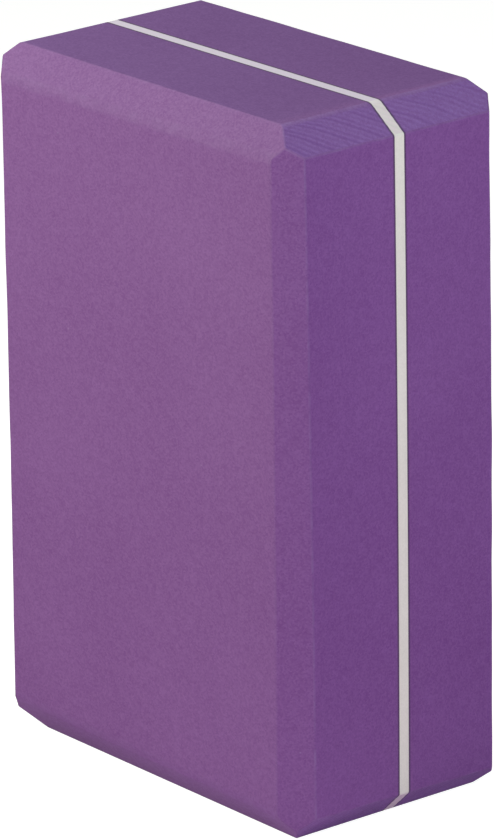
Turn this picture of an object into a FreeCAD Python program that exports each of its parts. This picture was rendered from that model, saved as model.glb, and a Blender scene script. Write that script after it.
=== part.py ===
import FreeCAD, Part
import os
import Sketcher

# A firm foam yoga block that stands on a small end. Two foam boards are glued to the two sides of a
# thin sheet, and the stack is then cut to its outline and chamfered along all twelve edges.
# X runs across the broad faces, Y through the layers and Z up the block's length. The origin is the
# middle of the bottom end, and lengths are in millimetres.

doc = FreeCAD.newDocument("yoga_block")

# Driving dimensions
driving_dimensions = {
    "block_length": "230",
    "block_width": "146",
    "board_thickness": "43",
    "sheet_thickness": "3.8",
    "glue_thickness": "0.1",
    "end_chamfer": "9",
    "long_chamfer": "8.5",
    "cut_overrun": "2",
}
sizes = doc.addObject("Spreadsheet::Sheet", "Sizes")
for row, (alias, value) in enumerate(driving_dimensions.items(), start=1):
    sizes.set(f"A{row}", alias)
    sizes.set(f"B{row}", value)
    sizes.setAlias(f"B{row}", alias)
doc.recompute()

# Ends of a sketch line, and the sketch's own origin, as constraints name them
START, END = 1, 2
SKETCH_ORIGIN = (-1, START)


def origin_plane(body, role):
    """One of a body's own three origin planes."""
    return next(feature for feature in body.Origin.OriginFeatures if feature.Role == role)


def new_sketch(body, name, role, corners):
    """A closed outline through the given corners, on one of the body's own origin planes."""
    sketch = body.newObject("Sketcher::SketchObject", name)
    sketch.AttachmentSupport = [(origin_plane(body, role), "")]
    sketch.MapMode = "FlatFace"
    count = len(corners)
    for line in range(count):
        sketch.addGeometry(Part.LineSegment(corners[line], corners[(line + 1) % count]))
    for line in range(count):
        sketch.addConstraint(Sketcher.Constraint("Coincident", line, END, (line + 1) % count, START))
    return sketch


def hold(sketch, kind, lower, upper, expression):
    """Hold the distance from a lower point to an upper one at what the expression comes to."""
    value = sketch.evalExpression(expression)
    number = sketch.addConstraint(Sketcher.Constraint(kind, *lower, *upper, value))
    sketch.setExpression(f"Constraints[{number}]", expression)


def edges_through_layers(shape):
    """Names of the straight edges that run along Y, from one side of a layer to the other."""
    names = []
    for number, edge in enumerate(shape.Edges, start=1):
        direction = edge.tangentAt(edge.FirstParameter)
        if round(abs(direction.y)) == 1:
            names.append(f"Edge{number}")
    return names


def layer(label, thickness, bonded_face, turn_degrees):
    """One layer of the stack: the block's outline, raised outwards from the layer's bonded face.

    A layer is drawn about its own middle, with its bonded face at Y = 0 and its thickness towards -Y.
    Its placement lifts it to stand on the bottom end, and turns it round for the rear of the stack.
    """
    body = doc.addObject("PartDesign::Body", label)
    body.Label = label
    half_width = sizes.evalExpression("Sizes.block_width / 2")
    half_length = sizes.evalExpression("Sizes.block_length / 2")
    outline = new_sketch(body, "Outline", "XZ_Plane", [
        FreeCAD.Vector(-half_width, -half_length),
        FreeCAD.Vector(half_width, -half_length),
        FreeCAD.Vector(half_width, half_length),
        FreeCAD.Vector(-half_width, half_length),
    ])
    bottom, right, top, left = range(4)
    for level_line in (bottom, top):
        outline.addConstraint(Sketcher.Constraint("Horizontal", level_line))
    for upright_line in (right, left):
        outline.addConstraint(Sketcher.Constraint("Vertical", upright_line))
    outline.addConstraint(Sketcher.Constraint("Symmetric", bottom, START, top, START, *SKETCH_ORIGIN))
    hold(outline, "DistanceX", (bottom, START), (bottom, END), "Sizes.block_width")
    hold(outline, "DistanceY", (right, START), (right, END), "Sizes.block_length")

    slab = body.newObject("PartDesign::Pad", "Slab")
    slab.Profile = outline
    slab.setExpression("Length", thickness)
    doc.recompute()

    # The chamfers between the small ends and the narrow sides cut straight through every layer
    corners = body.newObject("PartDesign::Chamfer", "EndCorners")
    corners.Base = (slab, edges_through_layers(slab.Shape))
    corners.setExpression("Size", "Sizes.end_chamfer")
    upright = FreeCAD.Vector(0, 0, 1)
    body.Placement = FreeCAD.Placement(FreeCAD.Vector(), FreeCAD.Rotation(upright, turn_degrees))
    body.setExpression("Placement.Base.y", bonded_face)
    body.setExpression("Placement.Base.z", "Sizes.block_length / 2")
    doc.recompute()
    return body


def wedge_sketch(body, name, role, reach_x, reach_y, way_x, way_y, chamfer):
    """The right-angled triangle that a chamfer takes off an edge, seen along that edge.

    Its square corner stands one overrun outside the edge both ways, and its long side lies on the
    chamfer. The reaches place the edge from the sketch's origin, and the ways are their signs.
    """
    corner_x = f"{reach_x} + Sizes.cut_overrun"
    corner_y = f"{reach_y} + Sizes.cut_overrun"
    leg = f"{chamfer} + 2 * Sizes.cut_overrun"
    x_from_origin = way_x * sizes.evalExpression(corner_x)
    y_from_origin = way_y * sizes.evalExpression(corner_y)
    leg_length = sizes.evalExpression(leg)
    square_corner = FreeCAD.Vector(x_from_origin, y_from_origin)
    level_end = square_corner - FreeCAD.Vector(way_x * leg_length, 0)
    upright_end = square_corner - FreeCAD.Vector(0, way_y * leg_length)
    wedge = new_sketch(body, name, role, [square_corner, level_end, upright_end])
    level_leg, slope, upright_leg = range(3)
    wedge.addConstraint(Sketcher.Constraint("Horizontal", level_leg))
    wedge.addConstraint(Sketcher.Constraint("Vertical", upright_leg))
    corner_point = (level_leg, START)
    spans = [
        ("DistanceX", SKETCH_ORIGIN, corner_point, way_x, corner_x),
        ("DistanceY", SKETCH_ORIGIN, corner_point, way_y, corner_y),
        ("DistanceX", (level_leg, END), corner_point, way_x, leg),
        ("DistanceY", (upright_leg, START), corner_point, way_y, leg),
    ]
    for kind, inner, outer, way, expression in spans:
        lower, upper = (inner, outer) if way > 0 else (outer, inner)
        hold(wedge, kind, lower, upper, expression)
    return wedge


def cut_pair(body, name, wedge, mirror_role):
    """Cut one outer edge of a board along its whole run, then its opposite edge as a mirror image."""
    before = body.Shape.Volume
    cut = body.newObject("PartDesign::Pocket", name)
    cut.Profile = wedge
    cut.Type = "ThroughAll"
    cut.SideType = "Symmetric"
    doc.recompute()
    opposite = body.newObject("PartDesign::Mirrored", f"{name}Opposite")
    opposite.Originals = [cut]
    opposite.MirrorPlane = (origin_plane(body, mirror_role), [""])
    body.Tip = opposite
    doc.recompute()
    if not before > cut.Shape.Volume > opposite.Shape.Volume:
        raise RuntimeError(f"{body.Label}: {name} cut nothing away")


def foam_board(label, bonded_face, turn_degrees):
    """A foam half: a thick layer whose outer face is chamfered on all four sides.

    The chamfers meet the end corners' chamfers in mitres, three to a corner with no facet between.
    """
    board = layer(label, "Sizes.board_thickness", bonded_face, turn_degrees)
    outer_face = "Sizes.board_thickness"
    end_face = "Sizes.block_length / 2"
    end_cut = "Sizes.end_chamfer"
    end_wedge = wedge_sketch(board, "EndWedge", "YZ_Plane", outer_face, end_face, -1, 1, end_cut)
    cut_pair(board, "EndEdge", end_wedge, "XY_Plane")
    side_face = "Sizes.block_width / 2"
    long_cut = "Sizes.long_chamfer"
    long_wedge = wedge_sketch(board, "LongWedge", "XY_Plane", side_face, outer_face, 1, -1, long_cut)
    cut_pair(board, "LongEdge", long_wedge, "YZ_Plane")
    return board


# The white sheet in the middle of the stack
sheet_face = "Sizes.sheet_thickness / 2"
pieces = [layer("centre_sheet", "Sizes.sheet_thickness", sheet_face, 0)]

# A film of dried glue and a foam board on each side of the sheet, the rear pair turned round
glued_face = f"({sheet_face} + Sizes.glue_thickness)"
for side_name, way, turn_degrees in (("front", -1, 0), ("rear", 1, 180)):
    film_face = f"{way} * {sheet_face}"
    board_face = f"{way} * {glued_face}"
    pieces.append(layer(f"glue_film_{side_name}", "Sizes.glue_thickness", film_face, turn_degrees))
    pieces.append(foam_board(f"foam_half_{side_name}", board_face, turn_degrees))

# Nothing is written unless every object of the document is sound
for item in doc.Objects:
    if "Invalid" in item.State or "Error" in item.State:
        raise RuntimeError(f"{item.Label} failed: {item.State}")
for piece in pieces:
    if piece.Shape.isNull() or not piece.Shape.isValid():
        raise RuntimeError(f"{piece.Label} has no sound shape")

os.makedirs("parts", exist_ok=True)
for piece in pieces:
    piece.Shape.exportStep(f"parts/{piece.Label}.step")
    print(piece.Label, len(piece.Shape.Solids), round(piece.Shape.Volume), piece.Shape.BoundBox)
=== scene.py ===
import math
import bpy
from mathutils import Matrix, Vector


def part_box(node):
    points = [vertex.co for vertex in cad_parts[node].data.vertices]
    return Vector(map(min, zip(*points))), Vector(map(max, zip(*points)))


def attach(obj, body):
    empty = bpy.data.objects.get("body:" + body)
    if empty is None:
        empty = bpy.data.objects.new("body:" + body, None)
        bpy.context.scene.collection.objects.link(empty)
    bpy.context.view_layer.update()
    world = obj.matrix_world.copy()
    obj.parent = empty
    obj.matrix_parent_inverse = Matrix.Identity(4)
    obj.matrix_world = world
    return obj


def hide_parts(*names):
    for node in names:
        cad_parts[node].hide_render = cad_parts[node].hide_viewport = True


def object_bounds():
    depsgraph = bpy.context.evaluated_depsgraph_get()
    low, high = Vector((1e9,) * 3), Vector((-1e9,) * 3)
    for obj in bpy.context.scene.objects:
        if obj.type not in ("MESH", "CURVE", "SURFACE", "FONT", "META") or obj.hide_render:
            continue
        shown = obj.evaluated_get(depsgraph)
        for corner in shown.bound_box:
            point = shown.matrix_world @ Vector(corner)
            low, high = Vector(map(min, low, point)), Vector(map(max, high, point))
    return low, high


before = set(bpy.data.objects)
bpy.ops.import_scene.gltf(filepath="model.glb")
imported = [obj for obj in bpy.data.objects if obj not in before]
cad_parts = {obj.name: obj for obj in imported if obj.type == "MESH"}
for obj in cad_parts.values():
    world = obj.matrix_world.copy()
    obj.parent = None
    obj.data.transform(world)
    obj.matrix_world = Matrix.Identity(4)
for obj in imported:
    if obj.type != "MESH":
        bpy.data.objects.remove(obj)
cad_low, cad_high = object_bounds()


# Centre sheet
# A thin sheet of white closed-cell EVA foam in the middle plane of the block. It is glued between the
# two boards as a blank, and the whole stack is then trimmed by straight knife passes, so its rim is flush.

MM = 0.001
LEFT, RIGHT = Vector((-1, 0, 0)), Vector((1, 0, 0))
FRONT, REAR = Vector((0, -1, 0)), Vector((0, 1, 0))
BOTTOM, TOP = Vector((0, 0, -1)), Vector((0, 0, 1))
block_middle = (cad_low + cad_high) / 2
block_half_size = (cad_high - cad_low) / 2


def blank(name, node):
    """A layer of the stack before it is trimmed: a slab that fills the CAD node's box."""
    low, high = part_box(node)
    bpy.ops.object.select_all(action="DESELECT")
    bpy.ops.mesh.primitive_cube_add(size=1, location=(low + high) / 2)
    piece = bpy.context.object
    piece.name = name
    piece.data.name = name
    piece.scale = high - low
    bpy.ops.object.transform_apply(location=True, rotation=True, scale=True)
    return piece


def reach(way):
    """The vector from the middle of the block to its side that faces that way."""
    return Vector(part * half for part, half in zip(way, block_half_size))


def knife_pass(first_face, second_face, at_start, at_end, on_second):
    """A straight pass that takes off the edge between two faces.

    The pass is set by how far it cuts back from the edge, in millimetres: on the first face where the
    pass starts and where it ends, and on the second face half-way. It runs to the right, rear or top.
    """
    along = Vector(abs(part) for part in first_face.cross(second_face))
    edge_middle = block_middle + reach(first_face) + reach(second_face)
    start = edge_middle - reach(along) - second_face * at_start * MM
    end = edge_middle + reach(along) - second_face * at_end * MM
    side = edge_middle - first_face * on_second * MM
    normal = (end - start).cross(side - start).normalized()
    if normal.dot(first_face + second_face) < 0:
        normal.negate()
    run = (end - start).normalized()
    fall = run.cross(normal)
    if fall.dot(second_face) < 0:
        fall.negate()
    return {"start": start, "normal": normal, "run": run, "fall": fall}


# The four passes between the small ends and the narrow sides go through every layer
corner_passes = [
    knife_pass(TOP, RIGHT, 10.7, 10.8, 8.2),
    knife_pass(TOP, LEFT, 9.0, 9.8, 9.7),
    knife_pass(BOTTOM, RIGHT, 9.6, 6.3, 7.7),
    knife_pass(BOTTOM, LEFT, 11.8, 10.8, 7.9),
]
corner_normals = [corner_pass["normal"] for corner_pass in corner_passes]

# A point this close to a cutting plane, in metres, lies on it
cut_tolerance = 1e-6


def trim(passes):
    """Cut the blank in hand by each pass in turn and close the cut."""
    bpy.ops.object.mode_set(mode="EDIT")
    for one_pass in passes:
        bpy.ops.mesh.select_all(action="SELECT")
        bpy.ops.mesh.bisect(
            plane_co=one_pass["start"],
            plane_no=one_pass["normal"],
            use_fill=True,
            clear_outer=True,
            threshold=cut_tolerance,
        )
    bpy.ops.object.mode_set(mode="OBJECT")


# A face looks along a direction when the dot product of the two is above this
same_way = 0.9999


def faces_one_of(face, normals):
    """Whether a face lies square to one of these normals."""
    return any(face.normal.dot(normal) > same_way for normal in normals)


# The knife leaves crisp edges. Those between the top end and its corner cuts are worn rounder by hands,
# and the front face's top and bottom edges are worn the most.
edge_softness = 0.5 * MM
worn_softness = 1.2 * MM
rounded_softness = 2.6 * MM


def soften_rim(piece, glued_ways):
    """Round off every edge that isn't glued."""
    neighbours = {}
    for face in piece.data.polygons:
        for key in face.edge_keys:
            neighbours.setdefault(key, []).append(face)
    roundness = piece.data.attributes.new("bevel_weight_edge", "FLOAT", "EDGE")
    for edge in piece.data.edges:
        sides = neighbours[edge.key]
        facing = sides[0].normal + sides[1].normal
        is_on_top = any(faces_one_of(face, [TOP]) for face in sides)
        is_on_front = any(faces_one_of(face, [FRONT]) for face in sides)
        softness = edge_softness
        if any(faces_one_of(face, glued_ways) for face in sides):
            softness = 0
        elif is_on_top and abs(facing.x) > abs(facing.y):
            softness = worn_softness
        elif is_on_front and abs(facing.z) > abs(facing.x):
            softness = rounded_softness
        roundness.data[edge.index].value = softness / rounded_softness
    rounding = piece.modifiers.new("rounding", "BEVEL")
    rounding.limit_method = "WEIGHT"
    rounding.width = rounded_softness
    rounding.segments = 4
    rounding.use_clamp_overlap = False
    bpy.ops.object.modifier_apply(modifier="rounding")


# Hands hold the narrow sides, so the edges there are rubbed the palest, and all rubbed edges carry a
# painted highlight.
# Worn edges of the top end keep half of the painted tints on both sides of them. Corner cuts get a painted
# cool sheen, most of all those that face up.
held_rub_highlight = 1
worn_rub_highlight = 0.5
slight_rub_highlight = 0.3
tone_left_by_wear = 0.5
# Painted cool sheen: full on corner cuts that face up, less on those that face down
sheen_above = 1
sheen_below = 0.4

# The narrow faces of a rounded edge look up or sideways by more than these parts of their direction
mostly_up = 0.8
hardly_sideways = 0.1
mostly_sideways = 0.72


def mark_rim(piece, passes, glued_ways):
    """Mark the painted light tint of the small ends, the painted sheen of the corner cuts and the rubbed
    edges with their painted highlight, and leave the glued faces unmarked.
    """
    cut_sheen_mark = piece.data.attributes.new("cut_sheen_mark", "FLOAT", "POINT")
    edge_rub_and_highlight = piece.data.attributes.new("edge_rub_and_highlight", "FLOAT", "POINT")
    end_tint_mark = piece.data.attributes.new("end_tint_mark", "FLOAT", "POINT")
    skin = [face for face in piece.data.polygons if not faces_one_of(face, glued_ways)]
    for face in skin:
        is_worn = face.normal.z > mostly_up and abs(face.normal.x) > hardly_sideways
        is_held = abs(face.normal.x) > mostly_sideways
        for number in face.vertices:
            edge_rub_and_highlight.data[number].value = held_rub_highlight if is_held else worn_rub_highlight if is_worn else slight_rub_highlight
            cut_sheen_mark.data[number].value = tone_left_by_wear * is_worn
            end_tint_mark.data[number].value = tone_left_by_wear * is_worn
    cut_normals = [one_pass["normal"] for one_pass in passes]
    flat_normals = [LEFT, RIGHT, FRONT, REAR, BOTTOM, TOP, *cut_normals]
    flat_faces = [face for face in skin if faces_one_of(face, flat_normals)]
    for face in flat_faces:
        for number in face.vertices:
            for mark in (edge_rub_and_highlight, cut_sheen_mark, end_tint_mark):
                mark.data[number].value = 0
    for face in flat_faces:
        sheen_tone = 0
        if faces_one_of(face, corner_normals):
            sheen_tone = sheen_above if face.normal.z > 0 else sheen_below
        is_end = faces_one_of(face, [BOTTOM, TOP])
        for number in face.vertices:
            cut_sheen_mark.data[number].value = max(cut_sheen_mark.data[number].value, sheen_tone)
            end_tint_mark.data[number].value = max(end_tint_mark.data[number].value, is_end)


def show_only(piece, wanted):
    """Enter edit mode with only the wanted faces in view, so that the next cuts act on them alone."""
    bpy.ops.object.mode_set(mode="EDIT")
    bpy.ops.mesh.select_mode(type="FACE")
    bpy.ops.mesh.select_all(action="DESELECT")
    bpy.ops.object.mode_set(mode="OBJECT")
    for face in piece.data.polygons:
        face.select = wanted(face)
    bpy.ops.object.mode_set(mode="EDIT")
    bpy.ops.mesh.hide(unselected=True)
    bpy.ops.mesh.select_mode(type="VERT")


def show_all():
    """Leave edit mode with every face in view again."""
    bpy.ops.mesh.reveal(select=False)
    bpy.ops.object.mode_set(mode="OBJECT")


def divide(place, across):
    """Divide the faces in view along a plane, and keep both sides."""
    bpy.ops.mesh.select_all(action="SELECT")
    bpy.ops.mesh.bisect(plane_co=place, plane_no=across, threshold=cut_tolerance)


def score(low, high, across, spacing):
    """Divide the faces in view at whole steps between two distances from the origin."""
    for step in range(math.floor(low / spacing), math.ceil(high / spacing) + 1):
        divide(across * step * spacing, across)


# The blade chatters as it crosses a corner, and leaves slanting ripples that bow downwards and get wider.
# They get fainter towards the rear, and are pressed into a grid that is finer than they are.
ripple_pitch = 3.1 * MM
ripple_depth = 0.12 * MM
ripple_lean = 1.75
ripple_bow = 0.03 / MM
ripple_widening = 0.0015 / MM
ripple_fading = 0.45
ripple_grid_along = 0.6 * MM
ripple_grid_down = 0.4 * MM

# A ripple wanders by small parts of the pitch, in a slow wave and a quick one, and differs from the next
slow_wander = 0.15
slow_wave = 6 * MM
quick_wander = 0.1
quick_wave = 1.7 * MM
quick_wave_slant = 9 * MM
strength_change = 0.25
strength_step = 1.9
strength_wave = 14 * MM


def ripple(piece, one_pass):
    """Press the blade's ripples into a corner chamfer, and mark their troughs for painted shade."""
    normal, run, fall = one_pass["normal"], one_pass["run"], one_pass["fall"]

    def on_chamfer(face):
        return faces_one_of(face, [normal])

    chamfer = {number for face in piece.data.polygons if on_chamfer(face) for number in face.vertices}
    places = [piece.data.vertices[number].co.copy() for number in chamfer]
    show_only(piece, on_chamfer)
    for across, spacing in ((run, ripple_grid_along), (fall, ripple_grid_down)):
        distances = [place.dot(across) for place in places]
        score(min(distances), max(distances), across, spacing)
    show_all()

    ripple_trough_shade = piece.data.attributes["ripple_trough_shade"]
    chamfer = {number for face in piece.data.polygons if on_chamfer(face) for number in face.vertices}
    for number in chamfer:
        vertex = piece.data.vertices[number]
        from_start = vertex.co - one_pass["start"]
        along, down = from_start.dot(run), from_start.dot(fall)
        wander = slow_wander * math.sin(along / slow_wave)
        wander += quick_wander * math.sin(down / quick_wave + along / quick_wave_slant)
        travel = along - down * (ripple_lean - ripple_bow * down)
        count = travel * (1 - ripple_widening * travel) / ripple_pitch + wander
        change = math.sin(strength_step * math.floor(count) + along / strength_wave)
        strength = 1 - strength_change + strength_change * change
        strength *= 1 - ripple_fading * along / (2 * block_half_size.y)
        share = strength * (0.5 - 0.5 * math.cos(math.tau * count))
        vertex.co -= normal * share * ripple_depth
        # Painted shade: the deeper a point lies in a trough, the darker it is coloured
        ripple_trough_shade.data[number].value = share


def ripple_corners(piece):
    """Press the blade's ripples into all four corner chamfers of a layer, and mark their troughs for
    painted shade.
    """
    piece.data.attributes.new("ripple_trough_shade", "FLOAT", "POINT")
    for corner_pass in corner_passes:
        ripple(piece, corner_pass)


# The whole stack has warped a little towards the rear, half-way up
stack_warp = 0.42 * MM


def follow_warp(piece):
    """Let a trimmed layer follow the stack's warp."""
    for vertex in piece.data.vertices:
        height = (vertex.co.z - block_middle.z) / block_half_size.z
        vertex.co.y += stack_warp * (1 - height * height)


# Faces that meet at less than this angle are shaded as one rounded surface
rounded_angle = math.radians(40)


def even_shading(piece):
    """Smooth the rounded edges and keep the flat faces flat to the eye."""
    bpy.ops.object.shade_smooth_by_angle(angle=rounded_angle)
    weighting = piece.modifiers.new("weighting", "WEIGHTED_NORMAL")
    weighting.keep_sharp = True
    weighting.weight = 100
    bpy.ops.object.modifier_apply(modifier="weighting")


# A thin layer is divided at this spacing up its length, so that it can follow the warp
thin_layer_grid = 10 * MM


def thin_layer(name, node):
    """A layer with both faces glued, finished along its rim."""
    layer = blank(name, node)
    glued_ways = [FRONT, REAR]
    trim(corner_passes)
    soften_rim(layer, glued_ways)
    mark_rim(layer, corner_passes, glued_ways)
    show_only(layer, lambda face: True)
    score(cad_low.z, cad_high.z, TOP, thin_layer_grid)
    show_all()
    ripple_corners(layer)
    follow_warp(layer)
    even_shading(layer)
    return layer


def new_node(tree, kind, values):
    """A new node with plain values in some of its inputs."""
    node = tree.nodes.new(kind)
    for socket, value in values.items():
        node.inputs[socket].default_value = value
    return node


def new_group(name, inputs, outputs):
    """A new node group, with its input and output nodes."""
    group = bpy.data.node_groups.new(name, "ShaderNodeTree")
    for socket, kind in inputs:
        group.interface.new_socket(socket, in_out="INPUT", socket_type=kind)
    for socket, kind in outputs:
        group.interface.new_socket(socket, in_out="OUTPUT", socket_type=kind)
    return group, group.nodes.new("NodeGroupInput"), group.nodes.new("NodeGroupOutput")


# A Mix node's sockets go by number, because its values and its colours have the same names
MIX_SHARE = 0
FIRST_VALUE, SECOND_VALUE, MIXED_VALUE = 2, 3, 0
FIRST_COLOUR, SECOND_COLOUR, MIXED_COLOUR = 6, 7, 2


def blend(tree, share, first, second):
    """The first value blended into the second by a fixed share."""
    node = tree.nodes.new("ShaderNodeMix")
    node.inputs[MIX_SHARE].default_value = share
    tree.links.new(first, node.inputs[FIRST_VALUE])
    tree.links.new(second, node.inputs[SECOND_VALUE])
    return node.outputs[MIXED_VALUE]


def two_tones(tree, share, first, second):
    """One colour turning into another by a share that varies over the piece."""
    node = tree.nodes.new("ShaderNodeMix")
    node.data_type = "RGBA"
    tree.links.new(share, node.inputs[MIX_SHARE])
    node.inputs[FIRST_COLOUR].default_value = first
    node.inputs[SECOND_COLOUR].default_value = second
    return node.outputs[MIXED_COLOUR]


def tint(tree, share, under, colour):
    """A colour laid over what is under it by a share that varies over the piece."""
    node = tree.nodes.new("ShaderNodeMix")
    node.data_type = "RGBA"
    tree.links.new(share, node.inputs[MIX_SHARE])
    tree.links.new(under, node.inputs[FIRST_COLOUR])
    node.inputs[SECOND_COLOUR].default_value = colour
    return node.outputs[MIXED_COLOUR]


def scaled(tree, value, low, high):
    """A value from 0 to 1 brought to a range."""
    node = new_node(tree, "ShaderNodeMapRange", {"To Min": low, "To Max": high})
    tree.links.new(value, node.inputs["Value"])
    return node.outputs["Result"]


def product(tree, first, second):
    """Two values multiplied."""
    node = tree.nodes.new("ShaderNodeMath")
    node.operation = "MULTIPLY"
    tree.links.new(first, node.inputs[0])
    tree.links.new(second, node.inputs[1])
    return node.outputs[0]


# Cut foam: open cells about half a millimetre wide, with small and large blotches and a few dust specks.
# The scales count cells and blotches to the metre.
foam_cells, cells_in, cells_out = new_group(
    "foam_cells",
    [("Position", "NodeSocketVector")],
    [("Tone", "NodeSocketFloat"), ("Height", "NodeSocketFloat"), ("Dust", "NodeSocketFloat")],
)
large_blotch_share = 0.5
blotch_share = 0.65
pores = new_node(foam_cells, "ShaderNodeTexVoronoi", {"Scale": 1800})
pore_tone = foam_cells.nodes.new("ShaderNodeSeparateColor")
small_blotches = new_node(foam_cells, "ShaderNodeTexNoise", {"Scale": 320, "Detail": 3, "Roughness": 0.6})
large_blotches = new_node(foam_cells, "ShaderNodeTexNoise", {"Scale": 18, "Detail": 1})
specks = new_node(foam_cells, "ShaderNodeTexVoronoi", {"Scale": 45})
for texture in (pores, small_blotches, large_blotches, specks):
    foam_cells.links.new(cells_in.outputs["Position"], texture.inputs["Vector"])
foam_cells.links.new(pores.outputs["Color"], pore_tone.inputs["Color"])
blotches = blend(foam_cells, large_blotch_share, small_blotches.outputs[0], large_blotches.outputs[0])
cell_tone = blend(foam_cells, blotch_share, pore_tone.outputs["Red"], blotches)
foam_cells.links.new(cell_tone, cells_out.inputs["Tone"])
foam_cells.links.new(pores.outputs["Distance"], cells_out.inputs["Height"])
dust = new_node(foam_cells, "ShaderNodeMapRange", {"From Min": 0.016, "From Max": 0.01})
foam_cells.links.new(specks.outputs["Distance"], dust.inputs["Value"])
foam_cells.links.new(dust.outputs["Result"], cells_out.inputs["Dust"])

# Edges rubbed pale in patches, with a painted highlight along them
rub_highlight_patches, rub_in, rub_out = new_group(
    "rub_highlight_patches",
    [("Position", "NodeSocketVector"), ("Edge", "NodeSocketFloat")],
    [("Mask", "NodeSocketFloat")],
)
rub_patches = new_node(rub_highlight_patches, "ShaderNodeTexNoise", {"Scale": 240, "Detail": 3})
rub_amount = new_node(rub_highlight_patches, "ShaderNodeMapRange", {"From Min": 0.3, "From Max": 0.7})
rub_highlight_patches.links.new(rub_in.outputs["Position"], rub_patches.inputs["Vector"])
rub_highlight_patches.links.new(rub_patches.outputs[0], rub_amount.inputs["Value"])
rub_highlight_mask = product(rub_highlight_patches, rub_amount.outputs["Result"], rub_in.outputs["Edge"])
rub_highlight_patches.links.new(rub_highlight_mask, rub_out.inputs["Mask"])


def piece_mark(tree, name):
    """One of the marks that a piece carries at its points."""
    node = tree.nodes.new("ShaderNodeAttribute")
    node.attribute_name = name
    return node.outputs["Fac"]


# How much of each tone shows in full. The painted sheen of a cut takes to pale cells more than to dark
# ones.
cut_sheen_in_dark = 0.1
cut_sheen_in_pale = 0.9
# The share of painted shade at the bottom of a ripple trough
trough_shade_share = 0.75
# The share of pale wear and painted highlight on a rubbed edge
rub_highlight_share = 0.5
dust_share = 0.6
soak_share = 0.6

# Pale cells are a little smoother than dark ones, and all stand in slight relief
dark_roughness = 0.92
pale_roughness = 0.78
cell_relief = {"Strength": 0.25, "Distance": 0.1 * MM}


def foam_material(name, dark, light, cut_sheen, trough_shade, pale_rub_and_highlight, painted_end_tint, soaked=None):
    """Matt cut foam, with tones for its cells, and with painted light: a cool sheen on its corner cuts,
    shade in its blade marks, a highlight on its rubbed edges and a tint on its ends.

    Foam that has taken up glue along its rim has a tone for that too.
    """
    material = bpy.data.materials.new(name)
    material.use_nodes = True
    tree = material.node_tree
    shader = tree.nodes["Principled BSDF"]
    place = tree.nodes.new("ShaderNodeTexCoord").outputs["Object"]
    cells = tree.nodes.new("ShaderNodeGroup")
    cells.node_tree = foam_cells
    tree.links.new(place, cells.inputs["Position"])
    rub_highlight = tree.nodes.new("ShaderNodeGroup")
    rub_highlight.node_tree = rub_highlight_patches
    tree.links.new(place, rub_highlight.inputs["Position"])
    tree.links.new(piece_mark(tree, "edge_rub_and_highlight"), rub_highlight.inputs["Edge"])
    tone = cells.outputs["Tone"]
    # The small ends are multiplied by a painted light tint, which stands in for how light falls on the top
    colour = tint(tree, piece_mark(tree, "end_tint_mark"), two_tones(tree, tone, dark, light), painted_end_tint)
    colour.node.blend_type = "MULTIPLY"
    # A painted cool sheen on the corner cuts
    cut_sheen_share = scaled(tree, tone, cut_sheen_in_dark, cut_sheen_in_pale)
    colour = tint(tree, product(tree, piece_mark(tree, "cut_sheen_mark"), cut_sheen_share), colour, cut_sheen)
    # Painted shade in the ripple troughs
    trough_shade_amount = scaled(tree, piece_mark(tree, "ripple_trough_shade"), 0, trough_shade_share)
    colour = tint(tree, trough_shade_amount, colour, trough_shade)
    # Pale rubbed edges with a painted highlight; dust specks take the same pale colour
    colour = tint(tree, scaled(tree, rub_highlight.outputs["Mask"], 0, rub_highlight_share), colour, pale_rub_and_highlight)
    colour = tint(tree, scaled(tree, cells.outputs["Dust"], 0, dust_share), colour, pale_rub_and_highlight)
    if soaked:
        colour = tint(tree, scaled(tree, piece_mark(tree, "glue_soak"), 0, soak_share), colour, soaked)
    tree.links.new(colour, shader.inputs["Base Color"])
    tree.links.new(scaled(tree, tone, dark_roughness, pale_roughness), shader.inputs["Roughness"])
    relief = new_node(tree, "ShaderNodeBump", cell_relief)
    tree.links.new(cells.outputs["Height"], relief.inputs["Height"])
    tree.links.new(relief.outputs["Normal"], shader.inputs["Normal"])
    return material


sheet = thin_layer("white_centre_sheet", "centre_sheet")
white_foam = foam_material(
    "white_foam",
    dark=(0.6, 0.613, 0.52, 1),
    light=(0.695, 0.713, 0.605, 1),
    cut_sheen=(0.572, 0.405, 0.57, 1),
    trough_shade=(0.525, 0.49, 0.51, 1),
    pale_rub_and_highlight=(0.56, 0.52, 0.55, 1),
    painted_end_tint=(0.768, 0.628, 0.989, 1),
)
sheet.data.materials.append(white_foam)
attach(sheet, "root")
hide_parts("centre_sheet")


# Glue films
# Thin films of dried contact adhesive that bond the boards to the two faces of the sheet. They are
# brushed on before the stack is trimmed, and show only as fine dark lines along the white stripe.

dried_glue = bpy.data.materials.new("dried_glue")
dried_glue.use_nodes = True
glue_tree = dried_glue.node_tree
glue_shader = glue_tree.nodes["Principled BSDF"]
glue_shader.inputs["Roughness"].default_value = 0.55
glue_place = glue_tree.nodes.new("ShaderNodeTexCoord")
glue_smears = new_node(glue_tree, "ShaderNodeTexNoise", {"Scale": 130, "Detail": 3})
glue_tree.links.new(glue_place.outputs["Object"], glue_smears.inputs["Vector"])
thick_glue = (0.025, 0.015, 0.028, 1)
thin_glue = (0.055, 0.033, 0.06, 1)
glue_colour = two_tones(glue_tree, glue_smears.outputs[0], thick_glue, thin_glue)
glue_tree.links.new(glue_colour, glue_shader.inputs["Base Color"])
for side in ("front", "rear"):
    film = thin_layer(f"glue_line_{side}", f"glue_film_{side}")
    film.data.materials.append(dried_glue)
    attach(film, "root")
    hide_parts(f"glue_film_{side}")


# Foam halves
# Two thick boards of purple closed-cell EVA foam, one on each side of the sheet. Their outer faces are
# trimmed by four more knife passes, which meet the corner passes in mitres at each corner.

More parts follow.
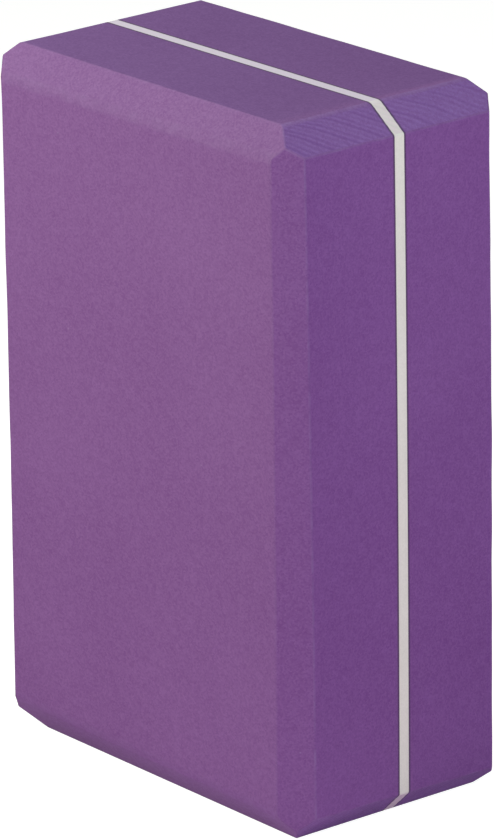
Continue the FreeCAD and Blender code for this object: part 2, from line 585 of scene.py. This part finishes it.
outer_passes = {
    "front": [
        knife_pass(TOP, FRONT, 8.8, 7.8, 8.9),
        knife_pass(BOTTOM, FRONT, 11.0, 8.3, 11.2),
        knife_pass(FRONT, RIGHT, 8.9, 7.4, 7.9),
        knife_pass(FRONT, LEFT, 8.2, 9.7, 9.0),
    ],
    "rear": [
        knife_pass(TOP, REAR, 8.5, 7.6, 9.2),
        knife_pass(BOTTOM, REAR, 9.5, 10.0, 9.1),
        knife_pass(REAR, RIGHT, 9.4, 10.0, 8.0),
        knife_pass(REAR, LEFT, 9.0, 9.4, 9.0),
    ],
}

# Glue soaks a little way into the boards' cut rims and darkens them along the stripe
soaked_through = 0.5 * MM
soak_end = 0.75 * MM


def soak_rim(piece, bond, bonded_way):
    """Mark a board's rim beside the glue, where it is darkened."""
    bpy.ops.object.mode_set(mode="EDIT")
    for depth in (soaked_through, soak_end):
        divide(Vector((0, bond, 0)) - bonded_way * depth, bonded_way)
    bpy.ops.object.mode_set(mode="OBJECT")
    glue_soak = piece.data.attributes.new("glue_soak", "FLOAT", "POINT")
    for vertex in piece.data.vertices:
        from_bond = abs(vertex.co.y - bond)
        darkening = (soak_end - from_bond) / (soak_end - soaked_through)
        glue_soak.data[vertex.index].value = min(1, max(0, darkening))


# A painted highlight along the top end's right edge: the ends' painted tint fades out in a strip beside
# that edge, a narrow strip on the rear board with little tint left, and a wide one on the front board with
# half of it left
top_edge_highlights = {"front": (5 * MM, 0.5), "rear": (3.2 * MM, 0.15)}


def light_top_edge(piece, strip, tint_left):
    """Fade the top end's painted tint towards its right edge, which leaves a painted highlight there."""
    def on_top(face):
        return faces_one_of(face, [TOP])

    top = {number for face in piece.data.polygons if on_top(face) for number in face.vertices}
    right_edge = max(piece.data.vertices[number].co.x for number in top)
    show_only(piece, on_top)
    divide(RIGHT * (right_edge - strip), RIGHT)
    show_all()
    end_tint_mark = piece.data.attributes["end_tint_mark"]
    for face in filter(on_top, piece.data.polygons):
        for number in face.vertices:
            from_edge = right_edge - piece.data.vertices[number].co.x
            end_tint_mark.data[number].value = min(1, tint_left + (1 - tint_left) * from_edge / strip)


# The knife-cut skin wanders in and out, from the lowest point to the highest by this much in all. The
# flat faces take less of it than the slanting cuts, and it fades out towards the glue and the floor.
skin_wander = 0.5 * MM
wander_length = 22 * MM
wander_fade = 8 * MM
looseness_of_flats = 0.35
slant_of_cuts = 0.28


def make_uneven(piece, bond):
    """Let a board's skin wander a little, and keep it true at the glue line and on the floor."""
    group = piece.vertex_groups.new(name="free_skin")
    for vertex in piece.data.vertices:
        from_bond = min(1, abs(vertex.co.y - bond) / wander_fade)
        from_floor = min(1, vertex.co.z / wander_fade)
        slant = 1 - max(abs(part) for part in vertex.normal)
        looseness = looseness_of_flats + (1 - looseness_of_flats) * min(1, slant / slant_of_cuts)
        group.add([vertex.index], from_bond * from_floor * looseness, "REPLACE")
    wander = bpy.data.textures.new(f"{piece.name}_wander", "CLOUDS")
    wander.noise_scale = wander_length
    wander.noise_depth = 1
    displace = piece.modifiers.new("uneven", "DISPLACE")
    displace.texture = wander
    displace.texture_coords = "LOCAL"
    displace.direction = "NORMAL"
    displace.strength = skin_wander
    displace.mid_level = 0.5
    displace.vertex_group = "free_skin"
    bpy.ops.object.modifier_apply(modifier="uneven")


# A board's skin is divided at this spacing, so that it can wander and follow the warp
board_grid = 5 * MM

purple_foam = foam_material(
    "purple_foam",
    dark=(0.112, 0.0275, 0.162, 1),
    light=(0.192, 0.0805, 0.262, 1),
    cut_sheen=(0.2, 0.11, 0.345, 1),
    trough_shade=(0.117, 0.038, 0.204, 1),
    pale_rub_and_highlight=(0.2, 0.125, 0.285, 1),
    painted_end_tint=(0.768, 0.727, 0.878, 1),
    soaked=(0.033, 0.02, 0.035, 1),
)
for side, bonded_way in (("front", REAR), ("rear", FRONT)):
    half = blank(f"purple_half_{side}", f"foam_half_{side}")
    board_low, board_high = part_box(f"foam_half_{side}")
    bond = board_high.y if side == "front" else board_low.y
    all_passes = corner_passes + outer_passes[side]
    trim(all_passes)
    soften_rim(half, [bonded_way])
    mark_rim(half, all_passes, [bonded_way])
    show_only(half, lambda face: not faces_one_of(face, [bonded_way, *corner_normals]))
    for across in (RIGHT, REAR, TOP):
        score(cad_low.dot(across), cad_high.dot(across), across, board_grid)
    show_all()
    light_top_edge(half, *top_edge_highlights[side])
    ripple_corners(half)
    soak_rim(half, bond, bonded_way)
    make_uneven(half, bond)
    follow_warp(half)
    even_shading(half)
    half.data.materials.append(purple_foam)
    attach(half, "root")
    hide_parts(f"foam_half_{side}")


# Floor
# A plain pale studio floor that the block stands on. The camera sees it as white with a soft shadow,
# and it throws a slightly pink light back onto the lower faces of the block.

bpy.ops.object.select_all(action="DESELECT")
bpy.ops.mesh.primitive_plane_add(size=6, location=(0, 0, 0))
floor = bpy.context.object
floor.name = "studio_floor"
pale_floor = bpy.data.materials.new("pale_floor")
pale_floor.use_nodes = True
nodes = pale_floor.node_tree.nodes
links = pale_floor.node_tree.links
nodes.clear()
output = nodes.new("ShaderNodeOutputMaterial")
by_ray = nodes.new("ShaderNodeMixShader")
seen_floor = nodes.new("ShaderNodeAddShader")
bounce = nodes.new("ShaderNodeBsdfDiffuse")
seen_shadow = nodes.new("ShaderNodeBsdfDiffuse")
seen_white = nodes.new("ShaderNodeEmission")
ray = nodes.new("ShaderNodeLightPath")
either_ray = nodes.new("ShaderNodeMath")
either_ray.operation = "MAXIMUM"
bounce.inputs["Color"].default_value = (0.86, 0.555, 0.89, 1)
seen_shadow.inputs["Color"].default_value = (0.3, 0.3, 0.3, 1)
seen_white.inputs["Strength"].default_value = 0.9
links.new(ray.outputs["Is Camera Ray"], either_ray.inputs[0])
links.new(ray.outputs["Is Glossy Ray"], either_ray.inputs[1])
links.new(either_ray.outputs[0], by_ray.inputs["Fac"])
links.new(seen_shadow.outputs[0], seen_floor.inputs[0])
links.new(seen_white.outputs[0], seen_floor.inputs[1])
links.new(bounce.outputs[0], by_ray.inputs[1])
links.new(seen_floor.outputs[0], by_ray.inputs[2])
links.new(by_ray.outputs[0], output.inputs["Surface"])
floor.data.materials.append(pale_floor)


# Studio light
# Five square softboxes, each with a slight tint of its own: a strong one in front, side lights at the
# right and the upper left, and weak ones at the near left and the rear right. The surround is even white.

def softbox(name, place, width, watts, colour):
    """A square area lamp that faces the middle of the block."""
    lamp = bpy.data.lights.new(name, "AREA")
    lamp.shape = "SQUARE"
    lamp.size = width
    lamp.energy = watts
    lamp.color = colour
    holder = bpy.data.objects.new(name, lamp)
    holder.location = place
    holder.rotation_euler = (block_middle - Vector(place)).to_track_quat("-Z", "Y").to_euler()
    bpy.context.scene.collection.objects.link(holder)


softbox("near_left", place=(-0.35, -0.45, 0.75), width=0.3, watts=0.76, colour=(1, 1, 0.72))
softbox("near_front", place=(-0.1, -0.6, 0.55), width=0.25, watts=6.03, colour=(0.835, 1, 0.696))
softbox("near_right", place=(0.6, 0.05, 0.45), width=0.3, watts=2.79, colour=(0.9, 0.955, 1))
softbox("rear_right", place=(0.7, 0.8, 1.1), width=0.6, watts=1.4, colour=(0.99, 0.99, 1))
softbox("left_top", place=(-0.5, 0, 0.65), width=0.3, watts=2.33, colour=(0.976, 1, 0.959))

surround_light = 0.08
surround_as_seen = 1.0
world = bpy.data.worlds.new("pale_surround")
world.use_nodes = True
bpy.context.scene.world = world
surround = world.node_tree.nodes["Background"]
surround.inputs["Color"].default_value = (1, 1, 1, 1)
world_ray = world.node_tree.nodes.new("ShaderNodeLightPath")
surround_strength = scaled(
    world.node_tree, world_ray.outputs["Is Camera Ray"], surround_light, surround_as_seen
)
world.node_tree.links.new(surround_strength, surround.inputs["Strength"])


# Camera
# A long lens, a little above the block and to its front right, as the photograph was taken. Its place
# and its turns come from a fit to the block's edges and corners.

camera_heading = 49.7466
camera_tilt_down = 18.8826
camera_roll = -0.884
camera = bpy.data.objects.new("camera", bpy.data.cameras.new("camera"))
bpy.context.scene.collection.objects.link(camera)
camera.data.sensor_width = 36
camera.data.lens = 287.18
camera.location = (1.52178, -1.28845, 0.79459)
heading = Matrix.Rotation(math.radians(camera_heading), 3, "Z")
tilt = Matrix.Rotation(math.radians(90 - camera_tilt_down), 3, "X")
roll = Matrix.Rotation(math.radians(camera_roll), 3, "Z")
camera.rotation_euler = (heading @ tilt @ roll).to_euler()
bpy.context.scene.camera = camera
bpy.context.scene.view_settings.view_transform = "Standard"
